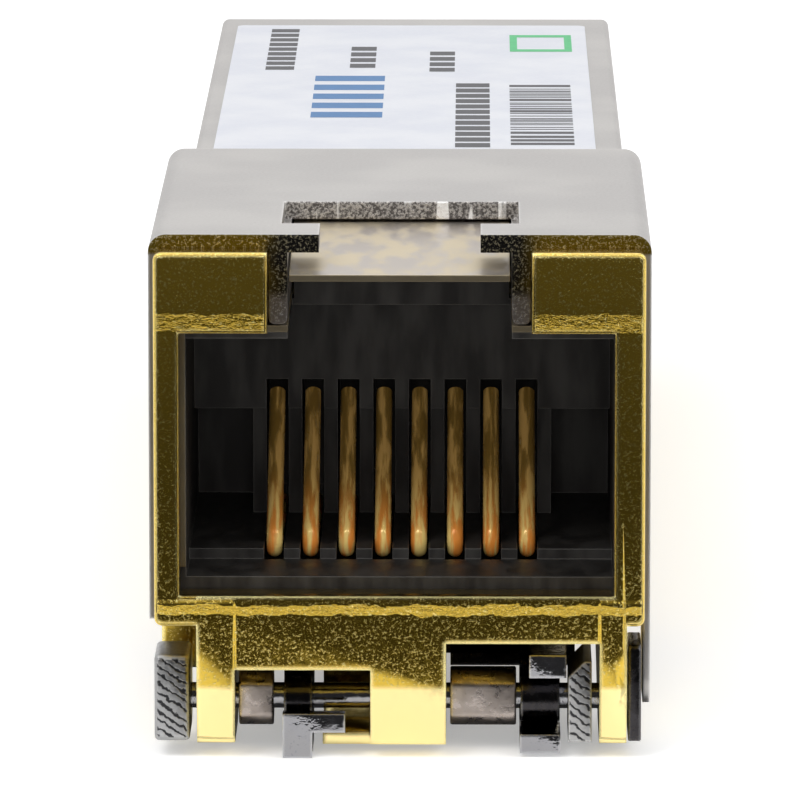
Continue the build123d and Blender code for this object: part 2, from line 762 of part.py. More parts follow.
# Latch rocker: bent plate with two front hooks and the latch boss at its tail.
plate_low = pivot_height - rocker_plate / 2
plate_high = pivot_height + rocker_plate / 2
tail_high = body_bottom + tail_sink + rocker_plate
shoulder_depth = pivot_depth + rocker_shoulder
bend_depth = pivot_depth + rocker_bend
rise_depth = latch_shoulder - rocker_rise_end
tail_rear = latch_shoulder + boss_length + tail_past_boss
with BuildPart() as latch_rocker:
    with BuildSketch(Plane.XY.offset(plate_low)) as plate_outline:
        patch(*rocker_sides, back(rocker_front), back(shoulder_depth))
        patch(-rocker_tail_half, rocker_tail_half, back(shoulder_depth), back(bend_depth))
        fillet(plate_outline.vertices().group_by(Axis.Y)[1].group_by(Axis.X)[0], plate_corner)
    extrude(amount=rocker_plate)

    # Tail that rises into the floor slot and ends behind the boss
    with BuildSketch(side_plane(-rocker_tail_half)):
        with BuildLine():
            Polyline(
                (back(bend_depth - rocker_plate), plate_low),
                (back(bend_depth), plate_low),
                (back(rise_depth), body_bottom + tail_sink),
                (back(tail_rear), body_bottom + tail_sink),
                (back(tail_rear), tail_high),
                (back(rise_depth - rocker_plate / 3), tail_high),
                (back(bend_depth - rocker_plate / 3), plate_high),
                (back(bend_depth - rocker_plate), plate_high),
                close=True,
            )
        make_face()
    extrude(amount=2 * rocker_tail_half)
    with BuildSketch(side_plane(-boss_width / 2)):
        with BuildLine():
            Polyline(
                (back(latch_shoulder), body_bottom + tail_sink + 0.1),
                (back(latch_shoulder), body_bottom - boss_drop),
                (back(latch_shoulder + boss_crest), body_bottom - boss_drop),
                (back(latch_shoulder + boss_length), body_bottom + tail_sink + 0.1),
                close=True,
            )
        make_face()
    extrude(amount=boss_width)

    # Barrel round the pivot pin, and its bore
    with BuildSketch(side_plane(rocker_sides[0])):
        with Locations((back(pivot_depth), pivot_height)):
            Circle(pivot_radius + barrel_wall)
    extrude(amount=rocker_sides[1] - rocker_sides[0])
    with BuildSketch(side_plane(-nose_half)):
        with Locations((back(pivot_depth), pivot_height)):
            Circle(pivot_radius + running_gap)
    extrude(amount=nose_width, mode=Mode.SUBTRACT)

    # Right hook, a C open to the front round its cam
    jaw_low = pin_height - hook_mouth_half
    jaw_high = pin_height + hook_mouth_half
    with BuildSketch(side_plane(hook_right[0])) as right_hook:
        with BuildLine():
            Polyline(
                (back(hook_front), jaw_low),
                (back(hook_front), jaw_low - hook_jaw_thickness + hook_tip_relief),
                (back(pin_depth + hook_mouth_half), jaw_low - hook_jaw_thickness + hook_tip_relief),
                (back(pin_depth + hook_mouth_half + hook_wall), jaw_low + 0.1),
                (back(rocker_front + hook_root), plate_low),
                (back(rocker_front + hook_root), jaw_high + hook_jaw_thickness),
                (back(hook_front), jaw_high + hook_jaw_thickness),
                (back(hook_front), jaw_high),
                (back(pin_depth + hook_mouth_half), jaw_high),
                (back(pin_depth + hook_mouth_half), jaw_low),
                close=True,
            )
        make_face()
        mouth_end = back(pin_depth + hook_mouth_half)
        mouth_corners = right_hook.vertices().filter_by_position(Axis.X, mouth_end - 0.01, mouth_end + 0.01)
        fillet(mouth_corners.sort_by(Axis.Y)[1:], mouth_round)
    extrude(amount=hook_right[1] - hook_right[0])
    with BuildSketch(side_plane(hook_right[1])):
        side_patch(hook_front, rocker_front, jaw_high, jaw_high + hook_jaw_thickness)
    extrude(amount=hook_upper_overhang)
    with BuildSketch(side_plane(hook_right[0])):
        side_patch(hook_front, rocker_front, jaw_high, jaw_high + hook_jaw_thickness)
    extrude(amount=hook_upper_shift, mode=Mode.SUBTRACT)

    # Left hook: a lower jaw with an upturned front and a bar towards the middle leg
    with BuildSketch(side_plane(hook_left[0])):
        with BuildLine():
            Polyline(
                (back(foot_front), foot_bar_high),
                (back(foot_front), 0),
                (back(pin_depth + hook_mouth_half), 0),
                (back(pin_depth + hook_mouth_half + hook_wall), jaw_low + 0.1),
                (back(rocker_front + hook_root), plate_low),
                (back(rocker_front + hook_root), plate_high),
                (back(pin_depth + hook_mouth_half), plate_high),
                (back(pin_depth + hook_mouth_half), jaw_low),
                (back(foot_front + foot_depth), jaw_low),
                (back(foot_front + foot_depth), foot_bar_high),
                close=True,
            )
        make_face()
    extrude(amount=hook_left[1] - hook_left[0])
    with BuildSketch(side_plane(hook_left[0])):
        side_patch(foot_front, foot_front + foot_depth, foot_bar_low, foot_bar_high)
    extrude(amount=hook_bar[1] - hook_bar[0])
latch_rocker.part.label = "latch_rocker"

# Small coil spring between the rocker and the floor.
spring_base = plate_high + spring_wire / 2 + fit_gap
spring_height = nose_floor + spring_pocket - plate_high - spring_wire - 2 * fit_gap
with BuildPart() as latch_spring:
    with BuildLine() as coil:
        Helix(
            pitch=spring_height / spring_turns,
            height=spring_height,
            radius=spring_radius,
            center=(0, back(spring_depth), spring_base),
        )
    with BuildSketch(Plane(origin=coil.wire() @ 0, z_dir=coil.wire() % 0)):
        Circle(spring_wire / 2)
    sweep(is_frenet=True)
latch_spring.part.label = "latch_spring"

pieces = [
    base_housing.part,
    top_cover.part,
    jack_shield.part,
    jack_insert.part,
    circuit_board.part,
    edge_pads.part,
    capacitors.part,
    label.part,
    release_pin.part,
    rocker_pivot.part,
    latch_rocker.part,
    latch_spring.part,
]
pieces += list(contacts.values()) + components + list(screws.values()) + bail_pieces
for piece in pieces:
    export_step(piece, f"parts/{piece.label}.step")
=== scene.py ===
import json
import math
import random

import bmesh
import bpy
from mathutils import Matrix, Vector


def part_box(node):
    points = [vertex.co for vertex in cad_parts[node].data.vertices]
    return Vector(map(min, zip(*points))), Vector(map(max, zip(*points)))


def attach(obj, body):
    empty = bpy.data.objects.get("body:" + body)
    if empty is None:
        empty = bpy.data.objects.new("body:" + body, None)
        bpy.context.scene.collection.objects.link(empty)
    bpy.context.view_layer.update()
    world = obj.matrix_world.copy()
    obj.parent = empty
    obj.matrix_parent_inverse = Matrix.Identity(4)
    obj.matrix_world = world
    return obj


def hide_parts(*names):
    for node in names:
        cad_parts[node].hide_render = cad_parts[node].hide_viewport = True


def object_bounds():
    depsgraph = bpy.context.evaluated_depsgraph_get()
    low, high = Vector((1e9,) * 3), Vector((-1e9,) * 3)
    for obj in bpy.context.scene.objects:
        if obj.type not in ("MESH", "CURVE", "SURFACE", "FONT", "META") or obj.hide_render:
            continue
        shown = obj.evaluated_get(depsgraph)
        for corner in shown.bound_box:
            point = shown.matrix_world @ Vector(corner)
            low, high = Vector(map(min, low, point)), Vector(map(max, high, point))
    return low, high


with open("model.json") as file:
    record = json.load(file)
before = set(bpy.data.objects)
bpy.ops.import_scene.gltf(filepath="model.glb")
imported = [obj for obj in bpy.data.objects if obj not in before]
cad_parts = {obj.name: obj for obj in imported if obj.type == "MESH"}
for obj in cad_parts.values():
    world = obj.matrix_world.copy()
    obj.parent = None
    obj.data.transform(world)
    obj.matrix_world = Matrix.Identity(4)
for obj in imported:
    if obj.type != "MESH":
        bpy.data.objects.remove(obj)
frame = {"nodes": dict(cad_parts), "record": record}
cad_low, cad_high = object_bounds()

# Copper network transceiver seen from its port end, a little from above.
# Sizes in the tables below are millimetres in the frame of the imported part.
MM = 0.001
NODES = frame["nodes"]
SLOT_OF = {part["node"]: part["material_slot"] for part in frame["record"]["subparts"]}
BODY_OF = {node: body for body, nodes in frame["record"]["behaviour"]["bodies"].items() for node in nodes}
FRONT_Y = cad_low.y / MM
TOWARD_PORT = (0, -1, 0)
UPWARD = (0, 0, 1)


def srgb(red, green, blue):
    """Linear colour of an eight-bit screen colour."""
    def channel(value):
        value /= 255
        return value / 12.92 if value <= 0.04045 else ((value + 0.055) / 1.055) ** 2.4
    return (channel(red), channel(green), channel(blue), 1.0)


class Finish:
    """One procedural material, with short calls that add its nodes."""

    def __init__(self, name, colour, metallic, roughness):
        self.material = bpy.data.materials.new(name)
        self.material.use_nodes = True
        self.tree = self.material.node_tree
        self.shader = self.tree.nodes["Principled BSDF"]
        self.shader.inputs["Base Color"].default_value = colour
        self.shader.inputs["Metallic"].default_value = metallic
        self.shader.inputs["Roughness"].default_value = roughness
        self.coordinates = self.tree.nodes.new("ShaderNodeTexCoord")
        self.place = self.vector("SCALE", self.coordinates.outputs["Object"], scale=1 / MM)

    def put(self, socket, value):
        """Gives a socket a link or a plain value."""
        if isinstance(value, bpy.types.NodeSocket):
            self.tree.links.new(value, socket)
        else:
            socket.default_value = value

    def vector(self, operation, first, second=None, scale=None):
        """Vector calculation; a dot product gives a number."""
        node = self.tree.nodes.new("ShaderNodeVectorMath")
        node.operation = operation
        self.put(node.inputs[0], first)
        if second is not None:
            self.put(node.inputs[1], second)
        if scale is not None:
            node.inputs["Scale"].default_value = scale
        return node.outputs["Value"] if operation == "DOT_PRODUCT" else node.outputs["Vector"]

    def math(self, operation, first, second=0.0):
        """Calculation with one or two numbers."""
        node = self.tree.nodes.new("ShaderNodeMath")
        node.operation = operation
        self.put(node.inputs[0], first)
        self.put(node.inputs[1], second)
        return node.outputs[0]

    def axis(self, name):
        """One coordinate of the surface point, in millimetres."""
        node = self.tree.nodes.new("ShaderNodeSeparateXYZ")
        self.put(node.inputs[0], self.place)
        return node.outputs[name]

    def ramp(self, value, low, high, start=0.0, end=1.0, smooth=True):
        """Number that runs from start to end while value runs from low to high."""
        node = self.tree.nodes.new("ShaderNodeMapRange")
        node.interpolation_type = "SMOOTHSTEP" if smooth else "LINEAR"
        self.put(node.inputs["Value"], value)
        node.inputs["From Min"].default_value = low
        node.inputs["From Max"].default_value = high
        node.inputs["To Min"].default_value = start
        node.inputs["To Max"].default_value = end
        return node.outputs["Result"]

    def noise(self, size, detail=2.0, stretch=(1, 1, 1), roughness=0.5, shift=0.0):
        """Noise whose features are about size millimetres wide, stretched along each axis."""
        node = self.tree.nodes.new("ShaderNodeTexNoise")
        scaled = self.vector("DIVIDE", self.place, tuple(stretch))
        if shift:
            scaled = self.vector("ADD", scaled, (shift, shift, shift))
        self.put(node.inputs["Vector"], scaled)
        node.inputs["Scale"].default_value = 1 / size
        node.inputs["Detail"].default_value = detail
        node.inputs["Roughness"].default_value = roughness
        return node.outputs["Fac"]

    def facing(self, direction, start=0.85, end=0.97):
        """1 where the surface faces a direction of the part, 0 elsewhere."""
        dot = self.vector("DOT_PRODUCT", self.coordinates.outputs["Normal"], tuple(direction))
        return self.ramp(dot, start, end)

    def mix(self, factor, first, second):
        """Blend from the first value to the second."""
        node = self.tree.nodes.new("ShaderNodeMix")
        node.data_type = "RGBA"
        self.put(node.inputs["Factor"], factor)
        self.put(node.inputs["A"], first)
        self.put(node.inputs["B"], second)
        return node.outputs["Result"]

    def bevel(self, radius):
        """Normal that rounds edges over a radius in millimetres, and a mask of the rounded rim that takes
        a painted highlight.
        """
        node = self.tree.nodes.new("ShaderNodeBevel")
        node.samples = 6
        node.inputs["Radius"].default_value = radius * MM
        geometry = self.tree.nodes.new("ShaderNodeNewGeometry")
        dot = self.vector("DOT_PRODUCT", node.outputs["Normal"], geometry.outputs["Normal"])
        return node.outputs["Normal"], self.ramp(dot, 0.999, 0.93)

    def bump(self, height, depth, normal=None, strength=1.0):
        """Bump of a depth in millimetres."""
        node = self.tree.nodes.new("ShaderNodeBump")
        node.inputs["Strength"].default_value = strength
        node.inputs["Distance"].default_value = depth * MM
        self.put(node.inputs["Height"], height)
        if normal is not None:
            self.put(node.inputs["Normal"], normal)
        return node.outputs["Normal"]

    def use(self, colour, roughness=None, normal=None):
        """Gives the shader its colour, roughness and normal, and returns the material."""
        for name, value in (("Base Color", colour), ("Roughness", roughness), ("Normal", normal)):
            if value is not None:
                self.put(self.shader.inputs[name], value)
        return self.material


# Features of the gold casting's front
GOLD_RIM = 0.2
CLIP_GAP_HALF = 3.64
BLOCK_LOW = 12.05
BLOCK_FLANK = 0.5
SILL_LOW = 4.12
SILL_FLANK = 0.28
TOE_TOP = 2.08
LEG_EDGES = (-4.56, 5.54)
LEG_RIDGE = 0.07
RIDGE_TOP = 4.5

# Features of the cover's front
LID_PLATE_LOW = 14.1
RIB_REACH = 3.75
RIB_GREY_TOP = 13.1
RIB_GREY_FADE = 0.4
GOLD_TINT_FROM = 3.6
GOLD_TINT_TO = 4.6
SLOT_REAR = FRONT_Y + 7.1

# Height where a contact is brightest, and where the comb shades it
CONTACT_BRIGHT = 4.8
CONTACT_SHADED = 7.2

# Place behind which the latch steel gets painted shade, and how softly it darkens
SHADED_FROM = FRONT_Y + 1.8
SHADE_FADE = 0.8


def gold_plating():
    """Bright plating on a casting: speckled faces, plain sloping toes painted paler as the bright floor
    they reflect, and a painted highlight on rounded rims.
    """
    finish = Finish("gold_plating", srgb(236, 210, 110), 1.0, 0.16)
    rounded, rim_highlight = finish.bevel(GOLD_RIM)
    height = finish.axis("Z")
    side = finish.axis("X")
    face = finish.facing(TOWARD_PORT)
    speckle = finish.noise(0.075, detail=4.0, roughness=0.75)
    wander = finish.noise(0.3, detail=5.0, stretch=(2.4, 1, 1), roughness=0.7)
    ragged = finish.math("ADD", height, finish.ramp(wander, 0.2, 0.8, -0.12, 0.12, smooth=False))

    # Sloping flanks: under the two blocks, and along the sill below the port
    outside = finish.ramp(finish.math("ABSOLUTE", side), CLIP_GAP_HALF - 0.05, CLIP_GAP_HALF)
    under_block = finish.ramp(ragged, BLOCK_LOW, BLOCK_LOW + BLOCK_FLANK, smooth=False)
    under_block = finish.math("MULTIPLY", under_block, outside)
    sill = finish.ramp(ragged, SILL_LOW, SILL_LOW + SILL_FLANK, smooth=False)
    flanks = finish.math("MULTIPLY", finish.math("ADD", under_block, sill), face)
    left_ridge = finish.ramp(side, LEG_EDGES[0] - LEG_RIDGE, LEG_EDGES[0] + LEG_RIDGE, 1, 0)
    right_ridge = finish.ramp(side, LEG_EDGES[1] - LEG_RIDGE, LEG_EDGES[1] + LEG_RIDGE)
    ridges = finish.math("MULTIPLY", finish.math("ADD", left_ridge, right_ridge), face)
    ridges = finish.math("MULTIPLY", ridges, finish.ramp(height, RIDGE_TOP + 0.1, RIDGE_TOP - 0.1))

    # Speckle fades out on the toes
    above_toes = finish.ramp(height, TOE_TOP - 0.1, TOE_TOP + 0.1)
    spots = finish.math("MULTIPLY", finish.ramp(speckle, 0.54, 0.68), above_toes)
    field = finish.mix(spots, srgb(216, 182, 72), srgb(255, 240, 164))
    # Toes: plain and unspeckled, with a paler colour that is painted reflection of the bright floor
    tone = finish.mix(above_toes, srgb(250, 232, 164), field)
    # Painted highlight on the rounded rims
    tone = finish.mix(rim_highlight, tone, srgb(252, 238, 170))
    rough = finish.ramp(finish.noise(0.25, detail=3.0, shift=5.0), 0.3, 0.75, 0.12, 0.22)
    normal = finish.bump(finish.noise(0.8, detail=2.0, stretch=(1.6, 1, 0.8)), 0.014, rounded, 0.4)
    normal = finish.bump(flanks, 0.13, normal)
    normal = finish.bump(ridges, 0.09, normal)
    normal = finish.bump(spots, 0.005, normal, 0.5)
    return finish.use(tone, rough, normal)


def nickel_cover():
    """Satin cover with a fine grain, and rough glittering edges where the sheet was cut."""
    finish = Finish("nickel_cover", srgb(178, 175, 172), 0.9, 0.42)
    rounded, rim_highlight = finish.bevel(0.1)
    grain = finish.noise(0.1, detail=4.0, roughness=0.7)
    cloud = finish.noise(4.0, detail=2.0, shift=3.0)
    tone = finish.mix(finish.ramp(cloud, 0.35, 0.7), srgb(172, 169, 167), srgb(182, 179, 176))
    grain_spots = finish.math("MULTIPLY", finish.ramp(grain, 0.62, 0.75), 0.25)
    tone = finish.mix(grain_spots, tone, srgb(120, 118, 116))
    # Painted highlight on the rounded rims
    tone = finish.mix(rim_highlight, tone, srgb(216, 214, 212))

    # Cut faces look towards the port: dark and gold at the front, silver with painted bright glint
    # streaks at the slot's end
    side = finish.math("ABSOLUTE", finish.axis("X"))
    height = finish.axis("Z")
    plate_or_rib = finish.math("MAXIMUM", finish.ramp(height, LID_PLATE_LOW - 0.1, LID_PLATE_LOW),
                               finish.ramp(side, RIB_REACH, RIB_REACH - 0.1))
    cut = finish.math("MULTIPLY", finish.facing(TOWARD_PORT), plate_or_rib)
    speck = finish.noise(0.09, detail=3.0, roughness=0.8, shift=9.0)
    glitter = finish.ramp(speck, 0.52, 0.64)
    wander = finish.math("ADD", side, finish.noise(0.6, detail=2.0, shift=2.0))
    warm = finish.ramp(wander, GOLD_TINT_FROM, GOLD_TINT_TO)
    front_cut = finish.mix(warm, srgb(26, 24, 24), srgb(92, 78, 22))
    front_cut = finish.mix(glitter, front_cut, srgb(176, 168, 140))
    low_rib = finish.ramp(height, RIB_GREY_TOP, RIB_GREY_TOP - RIB_GREY_FADE)
    low_cut = finish.mix(glitter, srgb(112, 106, 102), srgb(192, 188, 184))
    front_cut = finish.mix(low_rib, front_cut, low_cut)
    glint_streaks = finish.ramp(finish.noise(0.5, detail=2.0, stretch=(1, 9, 9), shift=4.0), 0.58, 0.62)
    slot_cut = finish.mix(finish.ramp(speck, 0.42, 0.62), srgb(96, 92, 90), srgb(206, 202, 198))
    # Painted glints: near-white vertical streaks on the slot's end
    slot_cut = finish.mix(glint_streaks, slot_cut, srgb(252, 251, 250))
    behind = finish.ramp(finish.axis("Y"), SLOT_REAR - 2.0, SLOT_REAR - 1.0)
    tone = finish.mix(cut, tone, finish.mix(behind, front_cut, slot_cut))
    sheet_rough = finish.ramp(grain, 0.3, 0.7, 0.38, 0.48)
    cut_rough = finish.ramp(glitter, 0.0, 1.0, 0.5, 0.25)
    rough = finish.mix(cut, sheet_rough, cut_rough)
    normal = finish.bump(grain, 0.003, rounded, 0.4)
    normal = finish.bump(finish.math("MULTIPLY", speck, cut), 0.05, normal, 0.6)
    return finish.use(tone, rough, normal)


def shield_sheet():
    """Tinned sheet: warm, satin, with soft blotches, a painted highlight on its rims and painted shade on
    faces towards the port.
    """
    finish = Finish("shield_sheet", srgb(198, 188, 172), 0.8, 0.42)
    rounded, rim_highlight = finish.bevel(0.06)
    blotch = finish.ramp(finish.noise(1.1, detail=3.0, stretch=(0.7, 1.6, 1)), 0.38, 0.62)
    tone = finish.mix(blotch, srgb(180, 172, 164), srgb(196, 184, 160))
    # Painted highlight on the rims
    tone = finish.mix(rim_highlight, tone, srgb(226, 212, 176))
    # Painted shade: faces towards the port are darker
    tone = finish.mix(finish.facing(TOWARD_PORT), tone, srgb(122, 112, 92))
    fine = finish.noise(0.15, detail=3.0)
    return finish.use(tone, finish.ramp(blotch, 0, 1, 0.36, 0.5), finish.bump(fine, 0.004, rounded, 0.5))


def polished_steel(name, colour, roughness, wave_depth, dark_behind=None):
    """Plated steel with slight waves: painted shade on top and behind a given place if one is named, and
    a painted highlight on its rims.
    """
    finish = Finish(name, colour, 1.0, roughness)
    rounded, rim_highlight = finish.bevel(0.12)
    waves = finish.noise(0.4, detail=3.0, roughness=0.6)
    specks = finish.ramp(finish.noise(0.1, detail=2.0, shift=6.0), 0.62, 0.72)
    dark = tuple(0.6 * value for value in colour[:3]) + (1.0,)
    pale = tuple(min(1.0, 1.3 * value + 0.15) for value in colour[:3]) + (1.0,)
    tone = finish.mix(finish.math("MULTIPLY", specks, 0.5), colour, dark)
    # Painted highlight on the rounded rims
    tone = finish.mix(rim_highlight, tone, pale)
    # Painted shade on faces that look upward
    tone = finish.mix(finish.facing(UPWARD), tone, srgb(46, 44, 44))
    if dark_behind is not None:
        # Painted shade behind the given place
        painted_shade = finish.ramp(finish.axis("Y"), dark_behind, dark_behind + SHADE_FADE)
        tone = finish.mix(painted_shade, tone, srgb(52, 50, 50))
    rough = finish.ramp(waves, 0.3, 0.7, roughness * 0.6, roughness * 1.6)
    return finish.use(tone, rough, finish.bump(waves, wave_depth, rounded, 0.6))


def cut_steel():
    """Sheared steel: satin sides, and slanting saw marks on the face at the port."""
    finish = Finish("cut_steel", srgb(168, 168, 168), 1.0, 0.34)
    rounded, rim_highlight = finish.bevel(0.1)
    face = finish.facing(TOWARD_PORT)
    wave = finish.tree.nodes.new("ShaderNodeTexWave")
    wave.wave_type = "BANDS"
    wave.bands_direction = "X"
    slant = finish.tree.nodes.new("ShaderNodeVectorRotate")
    slant.rotation_type = "Y_AXIS"
    slant.inputs["Angle"].default_value = math.radians(55)
    finish.put(slant.inputs["Vector"], finish.place)
    finish.put(wave.inputs["Vector"], slant.outputs["Vector"])
    wave.inputs["Scale"].default_value = 1.5
    wave.inputs["Distortion"].default_value = 4.5
    wave.inputs["Detail"].default_value = 4.0
    wave.inputs["Detail Scale"].default_value = 3.0
    marks = finish.ramp(wave.outputs["Fac"], 0.12, 0.4)
    fine = finish.noise(0.1, detail=3.0)
    between = finish.mix(fine, srgb(140, 140, 142), srgb(200, 200, 200))
    scored = finish.mix(marks, srgb(60, 60, 62), between)
    tone = finish.mix(face, srgb(160, 160, 160), scored)
    # Painted highlight on the rounded rims
    tone = finish.mix(rim_highlight, tone, srgb(222, 222, 222))
    normal = finish.bump(finish.math("MULTIPLY", marks, face), 0.02, rounded, 0.6)
    return finish.use(tone, finish.ramp(fine, 0.3, 0.7, 0.28, 0.44), normal)


def black_plastic():
    """Moulded charcoal plastic, with a painted grey highlight on its ledges."""
    finish = Finish("black_plastic", srgb(42, 40, 38), 0.0, 0.5)
    rounded, rim_highlight = finish.bevel(0.05)
    cloud = finish.noise(1.2, detail=4.0, stretch=(0.5, 1, 2.0))
    tone = finish.mix(finish.ramp(cloud, 0.35, 0.7), srgb(33, 31, 30), srgb(52, 50, 48))
    # Painted highlight on the ledges and rims
    tone = finish.mix(finish.math("MULTIPLY", rim_highlight, 0.5), tone, srgb(92, 90, 86))
    fine = finish.noise(0.07, detail=3.0)
    rough = finish.ramp(cloud, 0.3, 0.7, 0.38, 0.55)
    return finish.use(tone, rough, finish.bump(fine, 0.003, rounded, 0.5))


def contact_gold():
    """Gold-plated spring wire: bright low down, darker where the comb shades it."""
    finish = Finish("contact_gold", srgb(222, 164, 84), 0.15, 0.22)
    height = finish.ramp(finish.axis("Z"), CONTACT_BRIGHT, CONTACT_SHADED)
    patches = finish.ramp(finish.noise(0.16, detail=3.0, stretch=(1, 9, 9)), 0.42, 0.6)
    low = finish.mix(patches, srgb(246, 152, 64), srgb(255, 222, 136))
    high = finish.mix(patches, srgb(120, 92, 40), srgb(190, 150, 84))
    tone = finish.mix(height, low, high)
    lines = finish.noise(0.06, detail=2.0, stretch=(1, 8, 8))
    rough = finish.ramp(patches, 0, 1, 0.3, 0.14)
    return finish.use(tone, rough, finish.bump(lines, 0.004, None, 0.5))


def board_laminate():
    """Solder resist over faint tracks."""
    finish = Finish("board_laminate", srgb(28, 92, 56), 0.0, 0.35)
    rounded, rim_highlight = finish.bevel(0.05)
    tracks = finish.tree.nodes.new("ShaderNodeTexBrick")
    finish.put(tracks.inputs["Vector"], finish.place)
    tracks.inputs["Scale"].default_value = 0.6
    tracks.inputs["Mortar Size"].default_value = 0.03
    tone = finish.mix(tracks.outputs["Fac"], srgb(24, 84, 50), srgb(52, 124, 78))
    # Painted highlight on the rounded rims
    tone = finish.mix(rim_highlight, tone, srgb(150, 150, 96))
    fine = finish.noise(0.2, detail=3.0)
    normal = finish.bump(tracks.outputs["Fac"], 0.02, rounded, 0.5)
    return finish.use(tone, finish.ramp(fine, 0.3, 0.7, 0.28, 0.42), normal)


def moulded(name, dark, pale, roughness):
    """Plain moulded or fired body of a board component."""
    finish = Finish(name, dark, 0.0, roughness)
    rounded, rim_highlight = finish.bevel(0.06)
    cloud = finish.ramp(finish.noise(0.6, detail=4.0), 0.35, 0.7)
    # Painted highlight on the rounded rims; the cloud between dark and pale is the body's own tone
    tone = finish.mix(finish.math("MULTIPLY", rim_highlight, 0.6), finish.mix(cloud, dark, pale), pale)
    fine = finish.noise(0.08, detail=3.0)
    rough = finish.ramp(cloud, 0, 1, roughness - 0.06, roughness + 0.08)
    return finish.use(tone, rough, finish.bump(fine, 0.004, rounded, 0.5))


def label_film():
    """Smooth bluish-white film with a faint grain."""
    finish = Finish("label_film", srgb(224, 227, 236), 0.0, 0.38)
    cloud = finish.noise(2.5, detail=2.0)
    tone = finish.mix(finish.ramp(cloud, 0.3, 0.7), srgb(220, 223, 233), srgb(230, 232, 239))
    fine = finish.noise(0.2, detail=2.0)
    return finish.use(tone, finish.ramp(fine, 0.3, 0.7, 0.34, 0.44), finish.bump(fine, 0.002, None, 0.4))


def ink(name, colour):
    """Printing ink, slightly uneven."""
    finish = Finish(name, colour, 0.0, 0.5)
    pale = tuple(min(1.0, value * 1.3 + 0.01) for value in colour[:3]) + (1.0,)
    return finish.use(finish.mix(finish.noise(0.3, detail=3.0), colour, pale))


def finishes():
    """Material of every slot in the record."""
    return {
        "gold_plating": gold_plating(),
        "nickel_cover": nickel_cover(),
        "shield_sheet": shield_sheet(),
        "chrome_steel": polished_steel("chrome_steel", srgb(152, 152, 156), 0.1, 0.04, SHADED_FROM),
        "dark_steel": polished_steel("dark_steel", srgb(62, 60, 62), 0.2, 0.01),
        "cut_steel": cut_steel(),
        "satin_steel": polished_steel("satin_steel", srgb(172, 162, 156), 0.3, 0.02),
        "black_plastic": black_plastic(),
        "contact_gold": contact_gold(),
        "board_laminate": board_laminate(),
        "component_black": moulded("component_black", srgb(34, 34, 36), srgb(58, 58, 60), 0.55),
        "component_grey": moulded("component_grey", srgb(84, 84, 88), srgb(120, 120, 122), 0.6),
        "component_tan": moulded("component_tan", srgb(150, 120, 84), srgb(186, 160, 124), 0.45),
        "label_film": label_film(),
    }


def dress(materials):
    """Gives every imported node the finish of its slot."""
    for node, slot_name in SLOT_OF.items():
        for slot in NODES[node].material_slots:
            slot.material = materials[slot_name]


# Nodes whose edges are visibly rounded, with the radius
ROUNDED = {
    "latch_rocker": 0.14,
    "bail_arm_left": 0.13,
    "bail_arm_inner": 0.1,
    "bail_arm_right": 0.08,
    "pin_sleeve_left": 0.05,
    "pin_sleeve_right": 0.05,
    "base_housing": 0.09,
}
ROUNDING_STEPS = 3
SHARP_ANGLE = 35
FLAT_ANGLE = 1.0
WELD_DISTANCE = 0.0005


def rounded_copy(node, radius):
    """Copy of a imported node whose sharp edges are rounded; it stands for the node."""
    piece = bpy.data.objects.new(node + "_rounded", NODES[node].data.copy())
    bpy.context.collection.objects.link(piece)
    mesh = bmesh.new()
    mesh.from_mesh(piece.data)
    bmesh.ops.remove_doubles(mesh, verts=mesh.verts, dist=WELD_DISTANCE * MM)
    flat = math.radians(FLAT_ANGLE)
    bmesh.ops.dissolve_limit(mesh, angle_limit=flat, verts=mesh.verts, edges=mesh.edges)
    mesh.to_mesh(piece.data)
    mesh.free()
    for face in piece.data.polygons:
        face.use_smooth = True
    bevel = piece.modifiers.new("rounding", "BEVEL")
    bevel.width = radius * MM
    bevel.segments = ROUNDING_STEPS
    bevel.limit_method = "ANGLE"
    bevel.angle_limit = math.radians(SHARP_ANGLE)
    bevel.use_clamp_overlap = True
    bevel.harden_normals = True
    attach(piece, BODY_OF[node])
    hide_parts(node)


def flat_mesh(name, boxes, level, material, body):
    """Thin printed fields: one quad for each (left, right, front, back) box."""
    points = []
    faces = []
    for left, right, front, back in boxes:
        first = len(points)
        points += [(left, front, level), (right, front, level), (right, back, level), (left, back, level)]
        faces.append(tuple(range(first, first + 4)))
    mesh = bpy.data.meshes.new(name)
    mesh.from_pydata([Vector(point) * MM for point in points], [], faces)
    mesh.materials.append(material)
    piece = bpy.data.objects.new(name, mesh)
    bpy.context.collection.objects.link(piece)
    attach(piece, body)


def dashes(left, right, start, end, count, fill):
    """Row of short dashes that stands for a line of print running rearward."""
    pitch = (end - start) / count
    first = FRONT_Y + start
    return [(left, right, first + i * pitch, first + (i + fill) * pitch) for i in range(count)]


# Print on the label, with its places counted rearward from the front face.
# A row holds its left and right side, its first and last place, its dashes and their filled share.
PRINT_LIFT = 0.004
BLACK_ROWS = (
    (-4.9, -3.95, 51.6, 62.1, 9, 0.72),
    (-2.1, -1.25, 52.1, 57.7, 4, 0.7),
    (0.56, 1.4, 51.2, 56.5, 4, 0.7),
    (1.45, 2.55, 34.0, 48.7, 12, 0.75),
)
BLUE_ROW = (-3.2, -0.9, 40.5, 51.0, 5, 0.6)
BAR_SIDES = (3.2, 5.2)
BARS_FROM = 34.5
BARS_TO = 48.0
BAR_WIDTHS = (0.18, 0.3, 0.5)
BAR_GAPS = (0.16, 0.26, 0.4)
BAR_SEED = 5
GREEN_LEFT = 3.25
GREEN_RIGHT = 5.35
GREEN_FROM = FRONT_Y + 56.1
GREEN_TO = FRONT_Y + 60.3
GREEN_CROSS_LINE = 0.6
GREEN_SIDE_LINE = 0.25


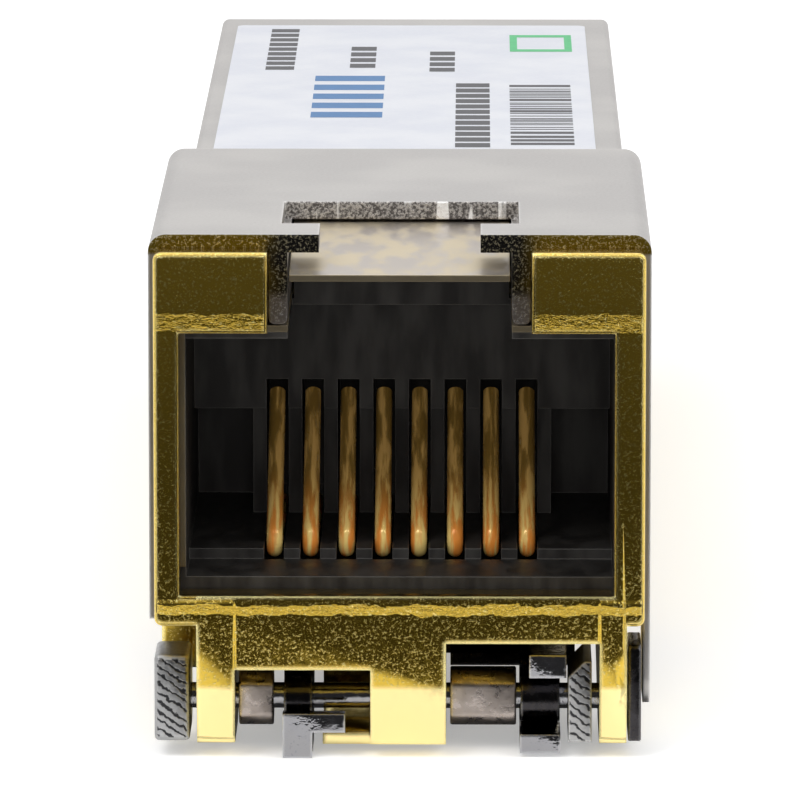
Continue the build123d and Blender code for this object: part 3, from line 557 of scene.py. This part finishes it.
def bars():
    """Bars of uneven width that stand for a code strip."""
    draw = random.Random(BAR_SEED)
    fields = []
    place = FRONT_Y + BARS_FROM
    while place < FRONT_Y + BARS_TO:
        width = draw.choice(BAR_WIDTHS)
        fields.append((*BAR_SIDES, place, place + width))
        place += width + draw.choice(BAR_GAPS)
    return fields


def green_frame():
    """Four lines round an empty field."""
    inner_from = GREEN_FROM + GREEN_CROSS_LINE
    inner_to = GREEN_TO - GREEN_CROSS_LINE
    return [
        (GREEN_LEFT, GREEN_RIGHT, inner_to, GREEN_TO),
        (GREEN_LEFT, GREEN_RIGHT, GREEN_FROM, inner_from),
        (GREEN_LEFT, GREEN_LEFT + GREEN_SIDE_LINE, inner_from, inner_to),
        (GREEN_RIGHT - GREEN_SIDE_LINE, GREEN_RIGHT, inner_from, inner_to),
    ]


def print_label():
    """Generic fields on the label: dashes, bars, a blue field and a green frame."""
    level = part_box("label")[1].z / MM + PRINT_LIFT
    black = [dash for row in BLACK_ROWS for dash in dashes(*row)] + bars()
    black_ink = ink("ink_black", srgb(38, 38, 44))
    flat_mesh("label_print_black", black, level, black_ink, "housing")
    blue_ink = ink("ink_blue", srgb(40, 104, 158))
    flat_mesh("label_print_blue", dashes(*BLUE_ROW), level, blue_ink, "housing")
    green_ink = ink("ink_green", srgb(60, 176, 110))
    flat_mesh("label_print_green", green_frame(), level, green_ink, "housing")


# Plate behind the contacts
CONTACTS = 8
SEAL_FACE = FRONT_Y + 12.7
SEAL_THICKNESS = 0.1
SEAL_HEIGHTS = (4.9, 9.4)
SEAL_HALF = 0.51
SEAL_RIB_HALF = 0.2

# Dark plate on the rocker, behind the right sleeve, standing in for shade in the recess; its shape is a
# guess
PLATE_SIDES = (1.4, 4.9)
PLATE_FACE = FRONT_Y + 4.2
PLATE_THICKNESS = 0.1
PLATE_HEIGHTS = (1.85, 3.05)
PLATE_RIB_INSET = 0.15
PLATE_RIB_THICKNESS = 0.06
PLATE_RIB_HEIGHTS = (2.8, 2.95)


def box_mesh(name, boxes, material):
    """Mesh of boxes, each given by its left, right, near, far, low and high place."""
    shape = bmesh.new()
    for left, right, near, far, low, high in boxes:
        size = Vector((right - left, far - near, high - low)) * MM
        middle = Vector(((left + right) / 2, (near + far) / 2, (low + high) / 2)) * MM
        bmesh.ops.create_cube(shape, size=1.0, matrix=Matrix.LocRotScale(middle, None, size))
    mesh = bpy.data.meshes.new(name)
    shape.to_mesh(mesh)
    shape.free()
    mesh.materials.append(material)
    return mesh


def groove_seals(material):
    """Thin plate with a raised rib behind each contact, closing the comb's grooves."""
    boxes = []
    for number in range(1, CONTACTS + 1):
        low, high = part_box(f"contact_{number}")
        centre = (low.x + high.x) / 2 / MM
        plate_sides = (centre - SEAL_HALF, centre + SEAL_HALF)
        rib_sides = (centre - SEAL_RIB_HALF, centre + SEAL_RIB_HALF)
        boxes.append((*plate_sides, SEAL_FACE, SEAL_FACE + SEAL_THICKNESS, *SEAL_HEIGHTS))
        boxes.append((*rib_sides, SEAL_FACE - SEAL_THICKNESS, SEAL_FACE, *SEAL_HEIGHTS))
    piece = bpy.data.objects.new("groove_seals", box_mesh("groove_seals", boxes, material))
    bpy.context.collection.objects.link(piece)
    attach(piece, "housing")


def recess_shade_plate(material):
    """Dark upright plate on the rocker with a raised rib, put in the gap above its right hook as painted
    shade.
    """
    rib_sides = (PLATE_SIDES[0] + PLATE_RIB_INSET, PLATE_SIDES[1] - PLATE_RIB_INSET)
    boxes = [
        (*PLATE_SIDES, PLATE_FACE, PLATE_FACE + PLATE_THICKNESS, *PLATE_HEIGHTS),
        (*rib_sides, PLATE_FACE - PLATE_RIB_THICKNESS, PLATE_FACE, *PLATE_RIB_HEIGHTS),
    ]
    piece = bpy.data.objects.new("recess_shade_plate", box_mesh("recess_shade_plate", boxes, material))
    bpy.context.collection.objects.link(piece)
    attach(piece, "latch")


# Studio: the floor's half-size is in metres, every other size in millimetres
FLOOR_REACH = 3.0
FLOOR_GLOW = 0.35
FRONT_CARD_GAP = 7.0
FRONT_CARD_HALF = 17.0
FRONT_CARD_TOP = 19.0
UNDER_CARD_HALF = 7.4
UNDER_CARD_SETBACK = 1.2
CARD_LOW = 0.02
CARD_GLOW_FROM = 4.0
CARD_GLOW = (0.04, 0.1)
SURROUNDINGS_LIGHT = 0.5
SURROUNDINGS_SEEN = 1.0
WHITE = (1, 1, 1, 1)


def area_light(name, place, target, size, power):
    """Soft square lamp."""
    lamp = bpy.data.lights.new(name, "AREA")
    lamp.size = size * MM
    lamp.energy = power
    holder = bpy.data.objects.new(name, lamp)
    holder.location = Vector(place) * MM
    holder.rotation_mode = "QUATERNION"
    holder.rotation_quaternion = (Vector(target) - Vector(place)).to_track_quat("-Z", "Y")
    bpy.context.collection.objects.link(holder)
    return holder


def seen_directly(tree):
    """1 for camera, glossy and transmission rays, 0 for the rays that light the part."""
    path = tree.nodes.new("ShaderNodeLightPath")
    seen = path.outputs["Is Camera Ray"]
    for ray in ("Is Glossy Ray", "Is Transmission Ray"):
        larger = tree.nodes.new("ShaderNodeMath")
        larger.operation = "MAXIMUM"
        tree.links.new(seen, larger.inputs[0])
        tree.links.new(path.outputs[ray], larger.inputs[1])
        seen = larger.outputs[0]
    return seen


def pale_floor():
    """Matt floor that keeps the shadow and looks a little brighter than it is lit."""
    mesh = bpy.data.meshes.new("floor")
    reach = FLOOR_REACH
    corners = [(-reach, -reach, 0), (reach, -reach, 0), (reach, reach, 0), (-reach, reach, 0)]
    mesh.from_pydata(corners, [], [(0, 1, 2, 3)])
    finish = Finish("floor", (0.95, 0.95, 0.95, 1), 0.0, 0.9)
    finish.shader.inputs["Emission Color"].default_value = WHITE
    finish.shader.inputs["Specular IOR Level"].default_value = 0.0
    glow = finish.math("MULTIPLY", seen_directly(finish.tree), FLOOR_GLOW)
    finish.put(finish.shader.inputs["Emission Strength"], glow)
    mesh.materials.append(finish.material)
    floor = bpy.data.objects.new("floor", mesh)
    bpy.context.collection.objects.link(floor)


def dark_cards():
    """Cards before and under the part that only its reflections see."""
    mesh = bpy.data.meshes.new("dark_cards")
    half = FRONT_CARD_HALF
    card_y = FRONT_Y - FRONT_CARD_GAP
    corners = [(-half, card_y, CARD_LOW), (half, card_y, CARD_LOW),
               (half, card_y, FRONT_CARD_TOP), (-half, card_y, FRONT_CARD_TOP)]
    half = UNDER_CARD_HALF
    near = FRONT_Y + UNDER_CARD_SETBACK
    far = cad_high.y / MM
    corners += [(-half, near, CARD_LOW), (half, near, CARD_LOW),
                (half, far, CARD_LOW), (-half, far, CARD_LOW)]
    mesh.from_pydata([Vector(corner) * MM for corner in corners], [], [(0, 1, 2, 3), (4, 5, 6, 7)])
    finish = Finish("card", (0.02, 0.02, 0.02, 1), 0.0, 1.0)
    finish.shader.inputs["Specular IOR Level"].default_value = 0.0
    finish.shader.inputs["Emission Color"].default_value = WHITE
    glow = finish.ramp(finish.axis("Z"), CARD_GLOW_FROM, FRONT_CARD_TOP, *CARD_GLOW)
    finish.put(finish.shader.inputs["Emission Strength"], glow)
    mesh.materials.append(finish.material)
    card = bpy.data.objects.new("dark_cards", mesh)
    bpy.context.collection.objects.link(card)
    card.visible_camera = False
    card.visible_diffuse = False
    card.visible_shadow = False


def surroundings():
    """White surroundings that light the part less brightly than they look."""
    world = bpy.data.worlds.new("studio")
    bpy.context.scene.world = world
    world.use_nodes = True
    tree = world.node_tree
    background = tree.nodes["Background"]
    level = tree.nodes.new("ShaderNodeMapRange")
    level.inputs["To Min"].default_value = SURROUNDINGS_LIGHT
    level.inputs["To Max"].default_value = SURROUNDINGS_SEEN
    tree.links.new(seen_directly(tree), level.inputs["Value"])
    background.inputs["Color"].default_value = WHITE
    tree.links.new(level.outputs["Result"], background.inputs["Strength"])


def lamps():
    """Three soft lamps, and a fourth at the port that makes no highlights."""
    area_light("key", place=(-160, -220, 300), target=(0, -20, 8), size=180, power=0.5)
    area_light("fill", place=(200, -160, 200), target=(0, -20, 8), size=200, power=0.3)
    area_light("back", place=(0, 200, 300), target=(0, 0, 8), size=200, power=0.15)
    port = area_light("port", place=(0, -260, 30), target=(0, -22, 7), size=60, power=0.15)
    port.visible_glossy = False


# Camera fitted to the photograph; its focal length is counted in the photo's pixels
CAMERA_PLACE = (2.04, -270.96, 52.39)
CAMERA_YAW = -0.486
CAMERA_PITCH = 10.04
FOCAL_PIXELS = 8800
PHOTO_PIXELS = 800
SENSOR_WIDTH = 36


def photograph_camera():
    """Camera of the photograph: long lens, ten degrees above the axis of the module."""
    yaw = math.radians(CAMERA_YAW)
    pitch = math.radians(CAMERA_PITCH)
    data = bpy.data.cameras.new("camera")
    data.sensor_width = SENSOR_WIDTH
    data.lens = SENSOR_WIDTH * FOCAL_PIXELS / PHOTO_PIXELS
    data.clip_start = 0.01
    data.clip_end = 20
    camera = bpy.data.objects.new("camera", data)
    camera.location = Vector(CAMERA_PLACE) * MM
    ahead = Vector((math.sin(yaw) * math.cos(pitch), math.cos(yaw) * math.cos(pitch), -math.sin(pitch)))
    camera.rotation_mode = "QUATERNION"
    camera.rotation_quaternion = ahead.to_track_quat("-Z", "Y")
    bpy.context.collection.objects.link(camera)
    bpy.context.scene.camera = camera


dress(finishes())
for node, radius in ROUNDED.items():
    rounded_copy(node, radius)
print_label()
groove_seals(NODES["jack_insert"].material_slots[0].material)
recess_shade_plate(NODES["cam_left"].material_slots[0].material)
pale_floor()
dark_cards()
surroundings()
lamps()
photograph_camera()
bpy.context.scene.view_settings.view_transform = "Standard"
